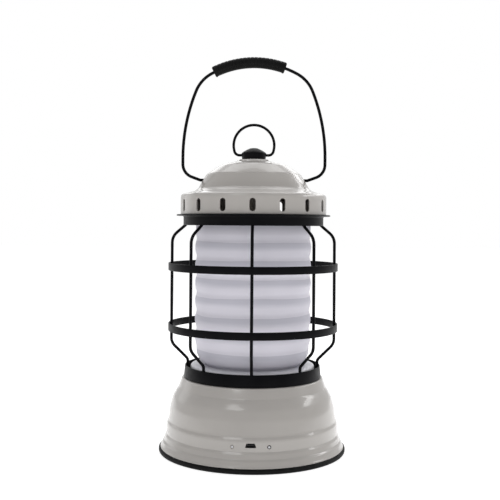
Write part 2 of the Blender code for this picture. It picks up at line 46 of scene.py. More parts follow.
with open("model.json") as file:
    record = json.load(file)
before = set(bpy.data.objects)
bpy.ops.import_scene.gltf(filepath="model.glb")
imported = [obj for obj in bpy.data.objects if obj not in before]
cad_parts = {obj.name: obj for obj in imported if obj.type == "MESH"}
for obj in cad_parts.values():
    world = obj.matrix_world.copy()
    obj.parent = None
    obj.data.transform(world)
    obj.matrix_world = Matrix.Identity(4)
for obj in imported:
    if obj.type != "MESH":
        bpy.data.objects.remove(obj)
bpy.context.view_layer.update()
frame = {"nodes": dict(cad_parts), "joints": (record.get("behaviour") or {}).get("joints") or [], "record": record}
PIVOTS = {joint["name"]: Vector(joint["pos_m"]) / MM for joint in frame["joints"]}


def high(node):
    """The upper corner of a CAD node, in millimetres."""
    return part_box(node)[1] / MM


def low(node):
    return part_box(node)[0] / MM


# ---------------------------------------------------------------- camera, floor and light

EYE_DISTANCE, EYE_HEIGHT, EYE_SIDE = 700.0, 184.2, -2.6
LENS = 61.8
TILT_DOWN, ROLL = 1.73, 0.42  # degrees
ORBIT = 0.9  # degrees that the camera stands round the axis from straight in front
STUDIO_FRONT, STUDIO_BACK = (0.39, 0.39, 0.395, 1), (0.75, 0.75, 0.75, 1)
AIM = (0, 0, 0.14)
LIGHTS = (  # name, place, (width, height), watts, and the shape where it isn't a rectangle
    ("window_right", (0.94, 0.26, 0.55), (0.75, 0.12), 1.5),
    ("edge_right", (0.62, 0.66, 0.68), (0.3, 0.35), 1.2),
    ("window_left", (-0.85, 0.55, 0.40), (0.4, 0.5), 0.4),
    ("small_front", (-0.40, -0.80, 0.74), (0.46, 0.22), 0.9, "ELLIPSE"),
    ("back", (0, 1.3, 0.82), (1.2, 0.5), 2.6),
    ("top", (0, 0.25, 0.95), (0.9, 0.7), 2.8),
)
FLOOR_HALF, FLOOR_DROP = 6, 0.00005


def add_camera():
    data = bpy.data.cameras.new("camera")
    data.lens = LENS
    data.clip_start, data.clip_end = 0.01, 50
    camera = bpy.data.objects.new("camera", data)
    bpy.context.collection.objects.link(camera)
    place = Matrix.Translation(Vector((EYE_SIDE, -EYE_DISTANCE, EYE_HEIGHT)) * MM)
    tilt = Matrix.Rotation(math.radians(90 - TILT_DOWN), 4, "X")
    roll = Matrix.Rotation(math.radians(ROLL), 4, "Z")
    orbit = Matrix.Rotation(math.radians(ORBIT), 4, "Z")
    camera.matrix_world = orbit @ place @ tilt @ roll
    bpy.context.scene.camera = camera


def softbox(name, place, size, power, shape="RECTANGLE"):
    data = bpy.data.lights.new(name, "AREA")
    data.shape = shape
    data.size, data.size_y = size
    data.energy = power
    light = bpy.data.objects.new(name, data)
    bpy.context.collection.objects.link(light)
    light.location = place
    light.rotation_euler = (Vector(AIM) - Vector(place)).to_track_quat("-Z", "Y").to_euler()


def add_light():
    """A studio that is lighter behind the lantern than in front, and softboxes round it.

    The camera itself sees plain white past the lantern.
    """
    world = bpy.data.worlds.new("studio")
    bpy.context.scene.world = world
    world.use_nodes = True
    tree = world.node_tree
    tree.nodes.clear()
    output = tree.nodes.new("ShaderNodeOutputWorld")
    mix = tree.nodes.new("ShaderNodeMixShader")
    seen = tree.nodes.new("ShaderNodeBackground")
    lit = tree.nodes.new("ShaderNodeBackground")
    path = tree.nodes.new("ShaderNodeLightPath")
    coordinate = tree.nodes.new("ShaderNodeTexCoord")
    split = tree.nodes.new("ShaderNodeSeparateXYZ")
    ramp = tree.nodes.new("ShaderNodeValToRGB")
    scale = tree.nodes.new("ShaderNodeMapRange")
    scale.inputs["From Min"].default_value = -1
    ramp.color_ramp.elements[0].position = 0.6
    ramp.color_ramp.elements[0].color = STUDIO_FRONT
    ramp.color_ramp.elements[1].position = 0.98
    ramp.color_ramp.elements[1].color = STUDIO_BACK
    tree.links.new(coordinate.outputs["Generated"], split.inputs[0])
    tree.links.new(split.outputs["Y"], scale.inputs["Value"])
    tree.links.new(scale.outputs[0], ramp.inputs[0])
    tree.links.new(ramp.outputs[0], lit.inputs["Color"])
    tree.links.new(path.outputs["Is Camera Ray"], mix.inputs[0])
    tree.links.new(lit.outputs[0], mix.inputs[1])
    tree.links.new(seen.outputs[0], mix.inputs[2])
    tree.links.new(mix.outputs[0], output.inputs["Surface"])
    seen.inputs["Color"].default_value = (1, 1, 1, 1)
    seen.inputs["Strength"].default_value = 1.0
    lit.inputs["Strength"].default_value = 1.0
    for light in LIGHTS:
        softbox(*light)


def add_floor():
    bm = bmesh.new()
    bmesh.ops.create_grid(bm, x_segments=1, y_segments=1, size=FLOOR_HALF)
    mesh = bpy.data.meshes.new("floor")
    bm.to_mesh(mesh)
    bm.free()
    floor = bpy.data.objects.new("floor", mesh)
    bpy.context.collection.objects.link(floor)
    floor.location.z = -FLOOR_DROP
    material = bpy.data.materials.new("floor")
    material.use_nodes = True
    shader = material.node_tree.nodes["Principled BSDF"]
    shader.inputs["Base Color"].default_value = (0.6, 0.6, 0.6, 1)
    shader.inputs["Roughness"].default_value = 0.9
    shader.inputs["Specular IOR Level"].default_value = 0.1
    shader.inputs["Emission Color"].default_value = (1, 1, 1, 1)
    shader.inputs["Emission Strength"].default_value = 0.76
    mesh.materials.append(material)


# ---------------------------------------------------------------- materials

def new_material(name, colour, roughness, metallic=0.0):
    material = bpy.data.materials.new(name)
    material.use_nodes = True
    shader = material.node_tree.nodes["Principled BSDF"]
    shader.inputs["Base Color"].default_value = (*colour, 1)
    shader.inputs["Roughness"].default_value = roughness
    shader.inputs["Metallic"].default_value = metallic
    return material


def shader_of(material):
    return material.node_tree.nodes["Principled BSDF"]


def noise(material, scale, detail=3.0, stretch=None):
    """A noise texture in the row frame. scale is in features a metre."""
    tree = material.node_tree
    coordinate = tree.nodes.new("ShaderNodeTexCoord")
    texture = tree.nodes.new("ShaderNodeTexNoise")
    texture.inputs["Scale"].default_value = scale
    texture.inputs["Detail"].default_value = detail
    source = coordinate.outputs["Object"]
    if stretch:
        mapping = tree.nodes.new("ShaderNodeMapping")
        mapping.inputs["Scale"].default_value = stretch
        tree.links.new(source, mapping.inputs["Vector"])
        source = mapping.outputs["Vector"]
    tree.links.new(source, texture.inputs["Vector"])
    return texture.outputs["Fac"]


def vary_colour(material, source, dark, light, start=0.35, end=0.65):
    tree = material.node_tree
    ramp = tree.nodes.new("ShaderNodeValToRGB")
    ramp.color_ramp.elements[0].position = start
    ramp.color_ramp.elements[0].color = (*dark, 1)
    ramp.color_ramp.elements[1].position = end
    ramp.color_ramp.elements[1].color = (*light, 1)
    tree.links.new(source, ramp.inputs[0])
    tree.links.new(ramp.outputs[0], shader_of(material).inputs["Base Color"])


def vary_roughness(material, source, smooth, rough):
    tree = material.node_tree
    spread = tree.nodes.new("ShaderNodeMapRange")
    spread.inputs["From Min"].default_value = 0.3
    spread.inputs["From Max"].default_value = 0.7
    spread.inputs["To Min"].default_value = smooth
    spread.inputs["To Max"].default_value = rough
    tree.links.new(source, spread.inputs["Value"])
    tree.links.new(spread.outputs[0], shader_of(material).inputs["Roughness"])


def add_bump(material, source, depth):
    """depth is in millimetres."""
    tree = material.node_tree
    bump = tree.nodes.new("ShaderNodeBump")
    bump.inputs["Distance"].default_value = depth * MM
    tree.links.new(source, bump.inputs["Height"])
    tree.links.new(bump.outputs[0], shader_of(material).inputs["Normal"])


def stone_paint():
    material = new_material("stone_paint", (0.46, 0.435, 0.41), 0.3)
    vary_colour(material, noise(material, 22, 2), (0.450, 0.427, 0.402), (0.475, 0.451, 0.424))
    shader_of(material).inputs["Coat Weight"].default_value = 0.55
    shader_of(material).inputs["Coat Roughness"].default_value = 0.06
    return material


def black_paint():
    material = new_material("black_paint", (0.004, 0.004, 0.005), 0.38)
    vary_colour(material, noise(material, 60, 3), (0.002, 0.002, 0.003), (0.004, 0.004, 0.005))
    vary_roughness(material, noise(material, 300, 4), 0.34, 0.46)
    add_bump(material, noise(material, 1500, 2), 0.02)
    shader_of(material).inputs["Specular IOR Level"].default_value = 0.07
    return material


def rubber(name, shade=0.005):
    material = new_material(name, (shade, shade, shade * 1.08), 0.6)
    shader_of(material).inputs["Specular IOR Level"].default_value = 0.12
    vary_colour(material, noise(material, 120, 4), (shade * 0.8,) * 3, (shade * 1.3,) * 3)
    vary_roughness(material, noise(material, 500, 3), 0.5, 0.68)
    add_bump(material, noise(material, 2600, 3), 0.03)
    return material


def frosted_plastic():
    """Frosted plastic with faint streaks, and painted shade: each rib's upper part and the sleeve's ends are
    darker.
    """
    material = new_material("frosted_plastic", (0.68, 0.67, 0.74), 0.42)
    tree = material.node_tree
    coordinate = tree.nodes.new("ShaderNodeTexCoord")
    split = tree.nodes.new("ShaderNodeSeparateXYZ")
    count = tree.nodes.new("ShaderNodeMath")
    count.operation = "MULTIPLY_ADD"
    count.inputs[1].default_value = 1 / (RIB_PITCH * MM)
    count.inputs[2].default_value = 1 - RIB_FOOT / RIB_PITCH
    streaks = tree.nodes.new("ShaderNodeMath")
    streaks.operation = "MULTIPLY_ADD"
    streaks.inputs[1].default_value = 0.3
    share = tree.nodes.new("ShaderNodeMath")
    share.operation = "FRACT"
    ramp = tree.nodes.new("ShaderNodeValToRGB")
    # Painted light and shade on the ribs: the lower part of each rib is lighter and its upper part darker.
    light = (0.86, 0.84, 0.92, 1)
    painted_rib_shade = (0.71, 0.70, 0.78, 1)
    ramp.color_ramp.elements[0].color = light
    ramp.color_ramp.elements[1].color = painted_rib_shade
    ramp.color_ramp.elements.new(0.5).color = light
    ramp.color_ramp.elements.new(0.78).color = painted_rib_shade
    tree.links.new(coordinate.outputs["Object"], split.inputs[0])
    tree.links.new(split.outputs["Z"], count.inputs[0])
    tree.links.new(noise(material, 110, 4, (0.12, 0.12, 1.3)), streaks.inputs[0])
    tree.links.new(count.outputs[0], streaks.inputs[2])
    tree.links.new(streaks.outputs[0], share.inputs[0])
    tree.links.new(share.outputs[0], ramp.inputs[0])
    # Painted shade at the sleeve's ends: it is darker towards its top and towards its bottom.
    height = tree.nodes.new("ShaderNodeMath")
    height.operation = "MULTIPLY"
    height.inputs[1].default_value = 1 / (END_SHADE_SPAN * MM)
    ends = tree.nodes.new("ShaderNodeValToRGB")
    ends.color_ramp.elements[0].position = 0.36
    ends.color_ramp.elements[0].color = (0.7, 0.7, 0.7, 1)
    ends.color_ramp.elements[1].position = 0.93
    ends.color_ramp.elements[1].color = (0.74, 0.74, 0.74, 1)
    for position in (0.43, 0.78):
        ends.color_ramp.elements.new(position).color = (1, 1, 1, 1)
    product = tree.nodes.new("ShaderNodeVectorMath")
    product.operation = "MULTIPLY"
    tree.links.new(split.outputs["Z"], height.inputs[0])
    tree.links.new(height.outputs[0], ends.inputs[0])
    tree.links.new(ramp.outputs[0], product.inputs[0])
    tree.links.new(ends.outputs[0], product.inputs[1])
    tree.links.new(product.outputs[0], shader_of(material).inputs["Base Color"])
    vary_roughness(material, noise(material, 350, 3), 0.36, 0.46)
    add_bump(material, noise(material, 1800, 2), 0.015)
    shader = shader_of(material)
    shader.inputs["Transmission Weight"].default_value = 0.1
    shader.inputs["IOR"].default_value = 1.3
    shader.inputs["Specular IOR Level"].default_value = 0.1
    return material


def moulded_plastic(name, dark, light, roughness=0.45):
    material = new_material(name, dark, roughness)
    vary_colour(material, noise(material, 80, 3), dark, light)
    vary_roughness(material, noise(material, 600, 3), roughness - 0.06, roughness + 0.06)
    add_bump(material, noise(material, 2200, 2), 0.02)
    return material


def bare_metal(name, dark, light, roughness, stretch=(1, 1, 12)):
    material = new_material(name, dark, roughness, 1.0)
    vary_colour(material, noise(material, 150, 4, stretch), dark, light)
    vary_roughness(material, noise(material, 700, 4, stretch), roughness - 0.08, roughness + 0.1)
    add_bump(material, noise(material, 1200, 3, stretch), 0.006)
    return material


def circuit_board():
    """Green solder mask with the darker lines of the tracks under it."""
    material = new_material("circuit_board", (0.02, 0.16, 0.07), 0.35)
    tree = material.node_tree
    coordinate = tree.nodes.new("ShaderNodeTexCoord")
    bricks = tree.nodes.new("ShaderNodeTexBrick")
    bricks.inputs["Scale"].default_value = 260
    bricks.inputs["Mortar Size"].default_value = 0.03
    bricks.inputs["Color1"].default_value = (0.015, 0.15, 0.06, 1)
    bricks.inputs["Color2"].default_value = (0.02, 0.18, 0.075, 1)
    bricks.inputs["Mortar"].default_value = (0.05, 0.3, 0.12, 1)
    tree.links.new(coordinate.outputs["Object"], bricks.inputs["Vector"])
    tree.links.new(bricks.outputs["Color"], shader_of(material).inputs["Base Color"])
    return material


MATERIALS = {
    "stone_paint": stone_paint(),
    "black_paint": black_paint(),
    "rubber": rubber("rubber"),
    "frosted_plastic": frosted_plastic(),
    "white_plastic": moulded_plastic("white_plastic", (0.76, 0.76, 0.80), (0.82, 0.82, 0.86), 0.35),
    "black_plastic": moulded_plastic("black_plastic", (0.003, 0.003, 0.004), (0.006, 0.006, 0.007), 0.4),
    "plain_steel": bare_metal("plain_steel", (0.40, 0.37, 0.33), (0.52, 0.48, 0.43), 0.35),
    "aluminium": bare_metal("aluminium", (0.62, 0.62, 0.63), (0.75, 0.75, 0.76), 0.3, (12, 1, 1)),
    "silicone": moulded_plastic("silicone", (0.55, 0.55, 0.56), (0.62, 0.62, 0.63), 0.5),
    "circuit_board": circuit_board(),
    "cell_wrap": moulded_plastic("cell_wrap", (0.04, 0.13, 0.42), (0.05, 0.16, 0.5), 0.3),
    "led_phosphor": moulded_plastic("led_phosphor", (0.75, 0.6, 0.12), (0.85, 0.7, 0.18), 0.5),
    "light_pipe": moulded_plastic("light_pipe", (0.62, 0.62, 0.64), (0.75, 0.75, 0.77), 0.14),
}


# ---------------------------------------------------------------- making meshes

def link(name, data):
    obj = bpy.data.objects.new(name, data)
    bpy.context.collection.objects.link(obj)
    return obj


def baked(obj):
    """Replaces obj by the plain mesh that its modifiers or its curve make, with its doubles welded."""
    bpy.context.view_layer.update()
    evaluated = obj.evaluated_get(bpy.context.evaluated_depsgraph_get())
    mesh = bpy.data.meshes.new_from_object(evaluated)
    bm = bmesh.new()
    bm.from_mesh(mesh)
    bmesh.ops.remove_doubles(bm, verts=bm.verts, dist=0.000001)
    bmesh.ops.recalc_face_normals(bm, faces=bm.faces)
    bm.to_mesh(mesh)
    bm.free()
    name, matrix = obj.name, obj.matrix_world.copy()
    bpy.data.objects.remove(obj, do_unlink=True)
    mesh.name = name
    result = link(name, mesh)
    result.matrix_world = matrix
    return result


def finish_piece(obj, body, slot, nodes):
    """Shades a piece, gives it its slot's material, and ties it to the frame."""
    obj.data.materials.clear()
    obj.data.materials.append(MATERIALS[slot])
    obj.data.shade_smooth()
    obj.data.set_sharp_from_angle(angle=SHARP)
    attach(obj, body)
    if nodes:
        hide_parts(*nodes)
    return obj


def rounded(corners, steps=5):
    """Points along (a, b) or (a, b, radius) corners, with an arc of that radius at each corner inside."""
    points = [Vector(corners[0][:2])]
    for before, here, after in zip(corners, corners[1:], corners[2:]):
        corner = Vector(here[:2])
        radius = here[2] if len(here) > 2 else 0
        back, on = Vector(before[:2]) - corner, Vector(after[:2]) - corner
        bend = math.pi - back.angle(on)
        if not radius or bend < 0.01:
            points.append(corner)
            continue
        reach = min(radius * math.tan(bend / 2), 0.49 * back.length, 0.49 * on.length)
        start, end = corner + back.normalized() * reach, corner + on.normalized() * reach
        count = max(2, round(steps * bend / (math.pi / 2)) + 1)
        size = reach / math.tan(bend / 2)
        centre = corner + (back.normalized() + on.normalized()).normalized() * size / math.cos(bend / 2)
        first, last = start - centre, end - centre
        sweep = first.angle_signed(last)
        for k in range(count + 1):
            points.append(centre + Matrix.Rotation(-sweep * k / count, 2) @ first)
    points.append(Vector(corners[-1][:2]))
    return points


def sheet(corners, thickness, steps=5):
    """The closed outline of a sheet whose outer side runs down the given corners."""
    outer = rounded(corners, steps)
    inner = []
    for i, here in enumerate(outer):
        before, after = outer[max(i - 1, 0)], outer[min(i + 1, len(outer) - 1)]
        along = (after - before).normalized()
        inner.append(here + Vector((along.y, -along.x)) * thickness)
    return outer + inner[::-1]


def turned(name, outline, sides=SIDES, closed=True, axis=None):
    """A piece turned about Z, or about the Z of the axis matrix, from (radius, height) points."""
    bm = bmesh.new()
    verts = [bm.verts.new((p[0] * MM, 0, p[1] * MM)) for p in outline]
    ends = verts[1:] + verts[:1] if closed else verts[1:]
    for a, b in zip(verts, ends):
        if (a.co - b.co).length > 1e-9:
            bm.edges.new((a, b))
    mesh = bpy.data.meshes.new(name)
    bm.to_mesh(mesh)
    bm.free()
    obj = link(name, mesh)
    screw = obj.modifiers.new("turn", "SCREW")
    screw.steps = screw.render_steps = sides
    screw.use_merge_vertices = True
    screw.merge_threshold = 0.000001
    if axis is not None:
        obj.matrix_world = axis
    return baked(obj)


def wire(name, points, radius, resolution=5):
    """A round wire along 3-D points, closed by caps."""
    curve = bpy.data.curves.new(name, "CURVE")
    curve.dimensions = "3D"
    curve.bevel_depth = radius * MM
    curve.bevel_resolution = resolution
    curve.use_fill_caps = True
    spline = curve.splines.new("POLY")
    spline.points.add(len(points) - 1)
    for target, point in zip(spline.points, points):
        target.co = (*(c * MM for c in point), 1)
    return baked(link(name, curve))


def cut(obj, cutters):
    """Cuts obj with each cutter, and removes the cutters."""
    for cutter in cutters:
        boolean = obj.modifiers.new(cutter.name, "BOOLEAN")
        boolean.object = cutter
        boolean.solver = "EXACT"
    result = baked(obj)
    for cutter in cutters:
        bpy.data.objects.remove(cutter, do_unlink=True)
    return result


def joined(name, pieces):
    bm = bmesh.new()
    for piece in pieces:
        piece.data.transform(piece.matrix_world)
        bm.from_mesh(piece.data)
        bpy.data.objects.remove(piece, do_unlink=True)
    mesh = bpy.data.meshes.new(name)
    bm.to_mesh(mesh)
    bm.free()
    return link(name, mesh)


def prism(name, outline, y_from, y_to):
    """An (x, z) outline, as a block along Y."""
    bm = bmesh.new()
    face = bm.faces.new([bm.verts.new((p[0] * MM, y_from * MM, p[1] * MM)) for p in outline])
    moved = bmesh.ops.extrude_face_region(bm, geom=[face])["geom"]
    verts = [v for v in moved if isinstance(v, bmesh.types.BMVert)]
    bmesh.ops.translate(bm, vec=(0, (y_to - y_from) * MM, 0), verts=verts)
    bmesh.ops.recalc_face_normals(bm, faces=bm.faces)
    mesh = bpy.data.meshes.new(name)
    bm.to_mesh(mesh)
    bm.free()
    return link(name, mesh)


def rod(name, radius, length, place, towards="Z", sides=SMALL_SIDES):
    bm = bmesh.new()
    bmesh.ops.create_cone(
        bm, cap_ends=True, segments=sides, radius1=radius * MM, radius2=radius * MM, depth=length * MM
    )
    mesh = bpy.data.meshes.new(name)
    bm.to_mesh(mesh)
    bm.free()
    obj = link(name, mesh)
    obj.matrix_world = at(place, towards)
    return obj


def at(place, towards="Z"):
    turn = {"X": Matrix.Rotation(math.pi / 2, 4, "Y"), "Y": Matrix.Rotation(-math.pi / 2, 4, "X")}
    return Matrix.Translation(Vector(place) * MM) @ turn.get(towards, Matrix())


def trapezoid(half_low, half_high, bottom, top, radius):
    """A closed outline with rounded corners, wider at one of its two level sides."""
    corners = [(0, top), (half_high, top, radius), (half_low, bottom, radius), (-half_low, bottom, radius)]
    return rounded(corners + [(-half_high, top, radius), (0, top)], 4)[:-1]


def stadium(half_width, bottom, top, steps=12):
    """A slot's outline, with half-round ends."""
    points = []
    for k in range(2 * steps + 2):
        upper = k <= steps
        angle = math.pi * (k if upper else k - 1) / steps
        height = top - half_width if upper else bottom + half_width
        points.append(Vector((half_width * math.cos(angle), height + half_width * math.sin(angle))))
    return points


def nugget(place, size):
    """A small round weld."""
    bm = bmesh.new()
    bmesh.ops.create_icosphere(bm, subdivisions=2, radius=1)
    bmesh.ops.scale(bm, vec=Vector(size) * MM, verts=bm.verts)
    mesh = bpy.data.meshes.new("nugget")
    bm.to_mesh(mesh)
    bm.free()
    obj = link("nugget", mesh)
    angle = math.atan2(place[1], place[0])
    obj.matrix_world = Matrix.Translation(Vector(place) * MM) @ Matrix.Rotation(angle, 4, "Z")
    return obj


# ---------------------------------------------------------------- base

PORT_Z = 20.1
PIPE_X, PIPE_Z = 13.8, 18.9
POST_ANGLES, POST_CIRCLE = (60, 180, 300), 44
KNOB_FLUTES = 24


def base_shell():
    top = high("base_shell").z
    outer = [
        (49.5, top),
        (57.1, top, 1.3),
        (59.9, 52.4, 4.0),
        (61.7, 49.6, 3.0),
        (64.4, 44.8, 14),
        (66.6, 37.4, 20),
        (67.9, 27.6, 16),
        (68.2, 25.8, 1.4),
        (69.25, 24.1, 1.2),
        (69.5, 22.4, 1.5),
        (69.55, 15.2, 1.0),
        (70.7, 13.4, 1.4),
        (71.5, 10.0, 2.0),
        (72.7, 8.6, 1.4),
        (73.9, 5.4, 3.0),
        (74.5, 4.6, 0.8),
        (74.5, 4.0),
    ]
    shell = turned("base_shell_skin", sheet(outer, 0.9))
    window = prism("window", trapezoid(4.25, 3.15, PORT_Z - 1.7, PORT_Z + 1.7, 0.5), -74, -62)
    holes = [rod("hole", 1.5, 8, (side * PIPE_X, -68.5, PIPE_Z), "Y", 32) for side in (-1, 1)]
    dimmer_hole = rod("hole", 3.9, 12, (0, 66, PIVOTS["dimmer_knob_turn"].z), "Y", 48)
    finish_piece(cut(shell, [window, *holes, dimmer_hole]), "lantern", "stone_paint", ["base_shell"])


def foot_ring():
    outline = rounded(
        [
            (71.6, 7.4),
            (72.8, 3.9, 0.3),
            (75.0, 3.9, 0.5),
            (75.9, 3.0, 0.8),
            (75.9, 1.1, 1.2),
            (75.2, 0, 0.8),
            (74.2, 0, 0.2),
            (73.8, 0.5, 0.2),
            (73.2, 0.5, 0.2),
            (72.8, 0, 0.2),
            (70.4, 0, 0.4),
            (69.9, 0.6, 0.4),
            (69.9, 7.4, 0.3),
            (71.6, 7.4),
        ]
    )
    finish_piece(turned("foot_ring_rubber", outline[:-1]), "lantern", "rubber", ["foot_ring"])


def usb_port():
    """A metal socket, duller than its slot's aluminium and darkened as painted shade of the port's recess, and the
    contact tongue inside it.
    """
    face = -67.7
    outer = prism("usb_port_socket", trapezoid(5.0, 3.9, PORT_Z - 2.3, PORT_Z + 2.3, 0.9), face, face + 5.4)
    mouth = prism("mouth", trapezoid(4.4, 3.3, PORT_Z - 1.8, PORT_Z + 1.8, 0.6), face - 1, face + 4.4)
    socket = cut(outer, [mouth])
    finish_piece(socket, "lantern", "aluminium", ["usb_port"])
    socket.data.materials[0] = MATERIALS["shaded_socket_metal"]
    tongue_outline = trapezoid(2.2, 2.2, PORT_Z + 0.1, PORT_Z + 0.75, 0.15)
    tongue = prism("usb_port_tongue", tongue_outline, face + 0.9, face + 4.6)
    finish_piece(tongue, "lantern", "black_plastic", [])


def indicator_lenses():
    """Two small lenses, each a low dome in a thin ring."""
    for side, node in ((-1, "charge_light_pipe"), (1, "power_light_pipe")):
        place = at((side * PIPE_X, -67.2, PIPE_Z), "Y") @ Matrix.Rotation(math.pi, 4, "X")
        dome = [(0, 1.35), (0.35, 1.3), (0.7, 1.14), (1.0, 0.85), (1.05, 0.2), (1.05, -3.0), (0, -3.0)]
        lens = turned(f"{node}_lens", dome, 40, False, place)
        finish_piece(lens, "lantern", "light_pipe", [node])
        rim = rounded([(1.1, 0.4), (1.1, 1.15, 0.1), (1.36, 1.15, 0.12), (1.36, 0.4)], 3)
        slot = "plain_steel" if side < 0 else "black_plastic"
        finish_piece(turned(f"{node}_rim", rim, 40, True, place), "lantern", slot, [])


def collar_ring():
    top, bottom = high("collar_ring").z, low("collar_ring").z
    outline = rounded(
        [
            (53.9, top - 0.3),
            (54.1, top, 0.15),
            (54.9, top, 0.35),
            (55.9, bottom, 0.3),
            (50.0, bottom),
            (50.0, bottom + 1.0),
            (54.8, bottom + 1.0, 0.3),
            (53.9, top - 0.3),
        ]
    )
    finish_piece(turned("collar_ring_painted", outline[:-1]), "lantern", "black_paint", ["collar_ring"])


def deck():
    top = high("deck").z
    outline = rounded(
        [
            (0, top - 0.4),
            (31.0, top - 0.4, 0.2),
            (36.2, top - 0.2, 0.2),
            (36.2, 68.2),
            (38.9, 68.2),
            (38.9, top, 0.3),
            (43.5, top, 1.0),
            (49.8, top - 0.3, 0.7),
            (50.4, top - 1.2, 0.4),
            (50.4, 61.7),
            (48.4, 61.7),
            (48.4, 66.2),
            (0, 66.2),
        ]
    )
    plate = turned("deck_plate", outline, closed=False)
    post_outline = rounded([(0, 66.4), (3.6, 66.4), (3.6, 4.1, 0.4), (1.3, 4.1), (1.3, 14), (0, 14)])
    posts = []
    for angle in POST_ANGLES:
        post = turned("post", post_outline, 32, False)
        post.location.x = POST_CIRCLE * math.cos(math.radians(angle)) * MM
        post.location.y = POST_CIRCLE * math.sin(math.radians(angle)) * MM
        posts.append(post)
    bpy.context.view_layer.update()
    finish_piece(joined("deck_plate", [plate, *posts]), "lantern", "white_plastic", ["deck"])


def dimmer_knob():
    pivot = PIVOTS["dimmer_knob_turn"]
    axis = at((0, 0, pivot.z), "Y")
    outline = rounded(
        [
            (0, 75.1),
            (4.9, 75.1, 0.3),
            (5.4, 75.6, 0.3),
            (6.6, 75.6, 0.5),
            (7.4, 74.8, 0.8),
            (7.5, 68.8, 0.3),
            (6.4, 68.7),
            (6.4, 70.2),
            (2.5, 70.2),
            (2.5, 74.0),
            (0, 74.0),
        ]
    )
    knob = turned("dimmer_knob_moulded", outline, 128, False, axis)
    flutes = []
    for i in range(KNOB_FLUTES):
        angle = 2 * math.pi * (i + 0.5) / KNOB_FLUTES
        x, z = 7.85 * math.sin(angle), 7.85 * math.cos(angle)
        flutes.append(rod("flute", 0.62, 12, (x, 72.4, pivot.z + z), "Y", 16))
    pointer = prism("pointer", trapezoid(0.45, 0.45, pivot.z + 1.8, pivot.z + 4.9, 0.4), 74.6, 77)
    finish_piece(cut(knob, [joined("flutes", flutes), pointer]), "knob", "black_paint", ["dimmer_knob"])


# ---------------------------------------------------------------- diffuser

def diffuser():
    """A frosted sleeve with soft ribs that meet in sharp valleys, on a bowl-shaped foot."""
    valley, crest, steps = 45.85, 1.35, 10
    top = high("diffuser").z
    neck = [
        (44.2, top),
        (46.2, top, 0.6),
        (46.6, 186.0, 6),
        (46.6, 176.0, 8),
        (valley, RIB_FOOT + RIB_PITCH * RIBS),
    ]
    bowl = [
        (valley, RIB_FOOT),
        (45.7, 79.6, 7),
        (42.6, 73.4, 4),
        (39.0, 71.3, 1),
        (38.6, 69.9),
        (36.6, 69.9),
    ]
    inside = [(36.6, 71.8), (40.2, 75.6, 6), (43.2, 85.3, 10), (43.6, 172), (44.2, top)]
    outline = rounded(neck)
    for rib in range(RIBS - 1, -1, -1):
        for k in range(1, steps + 1):
            share = 1 - k / steps
            swell = abs(math.sin(math.pi * share)) ** 1.2
            outline.append(Vector((valley + crest * swell, RIB_FOOT + RIB_PITCH * (rib + share))))
    outline += rounded(bowl)[1:]
    outline += rounded(inside)[:-1]
    finish_piece(turned("diffuser_sleeve", outline), "lantern", "frosted_plastic", ["diffuser"])


# ---------------------------------------------------------------- cage

WIRE = 1.2
WIRES = 8
CAGE = 66.4  # from the axis to a wire's centre line


def cage_wires():
    corners = [
        (52.9, 62.0),
        (52.9, 73.6, 4.0),
        (CAGE + 0.1, 87.0, 9.0),
        (CAGE - 0.3, 173.8, 11.0),
        (53.8, 184.4, 6.0),
        (53.6, 189.9),
    ]
    profile = rounded(corners, 8)
    for i in range(WIRES):
        turn = 2 * math.pi * i / WIRES
        points = [(p.x * math.sin(turn), -p.x * math.cos(turn), p.y) for p in profile]
        piece = wire(f"cage_wire_{i + 1}_rod", points, WIRE)
        finish_piece(piece, "lantern", "black_paint", [f"cage_wire_{i + 1}"])


def cage_bands():
    """Flat strips bent round the wires, each spot-welded to them."""
    for node in ("cage_band_lower", "cage_band_upper"):
        top, bottom = high(node).z, low(node).z
        middle = (top + bottom) / 2
        corners = [
            (67.7, middle),
            (67.7, top, 0.2),
            (68.8, top, 0.3),
            (68.8, bottom, 0.3),
            (67.7, bottom, 0.2),
            (67.7, middle),
        ]
        strip = turned(f"{node}_strip", rounded(corners, 3)[:-1])
        welds = []
        for i in range(WIRES):
            angle = 2 * math.pi * i / WIRES
            x, y = 67.5 * math.cos(angle), 67.5 * math.sin(angle)
            welds.append(nugget((x, y, middle), (0.5, 1.5, 2.0)))
        bpy.context.view_layer.update()
        finish_piece(joined(f"{node}_strip", [strip, *welds]), "lantern", "black_paint", [node])


def top_ring():
    top, bottom = high("top_ring").z, low("top_ring").z
    outline = rounded(
        [
            (50.6, top),
            (61.6, top, 0.4),
            (62.4, top - 0.3, 0.35),
            (62.4, top - 1.0, 0.35),
            (61.6, 190.5, 0.4),
            (57.3, 190.5, 0.9),
            (56.8, 189.4, 0.9),
            (56.8, bottom, 0.35),
            (55.6, bottom, 0.2),
            (55.6, 190.3),
            (50.6, 190.3),
        ]
    )
    finish_piece(turned("top_ring_painted", outline), "lantern", "black_paint", ["top_ring"])


# ---------------------------------------------------------------- cap

VENTS = 16
VENT_HALF_WIDTH, VENT_BOTTOM, VENT_TOP = 2.35, 193.8, 203.8


def vented_cap():
    outer = [
        (31.0, 224.0),
        (38.5, 224.0, 0.6),
        (42.9, 216.8, 12.0),
        (45.0, 212.8, 5.0),
        (48.4, 210.6, 6.0),
        (56.9, 208.3, 1.6),
        (58.7, 207.3, 1.5),
        (59.1, 205.2, 1.4),
        (59.1, low("vented_cap").z),
    ]
    cap = turned("vented_cap_skin", sheet(outer, 0.9), 256)
    slots = []
    for i in range(VENTS):
        slot = prism("slot", stadium(VENT_HALF_WIDTH, VENT_BOTTOM, VENT_TOP), -66, -54)
        slot.data.transform(Matrix.Rotation(2 * math.pi * i / VENTS, 4, "Z"))
        slots.append(slot)
    holes = rod("holes", 1.75, 110, (0, 0, PIVOTS["bail_swing"].z), "X", 32)
    finish_piece(cut(cap, [joined("slots", slots), holes]), "lantern", "stone_paint", ["vented_cap"])


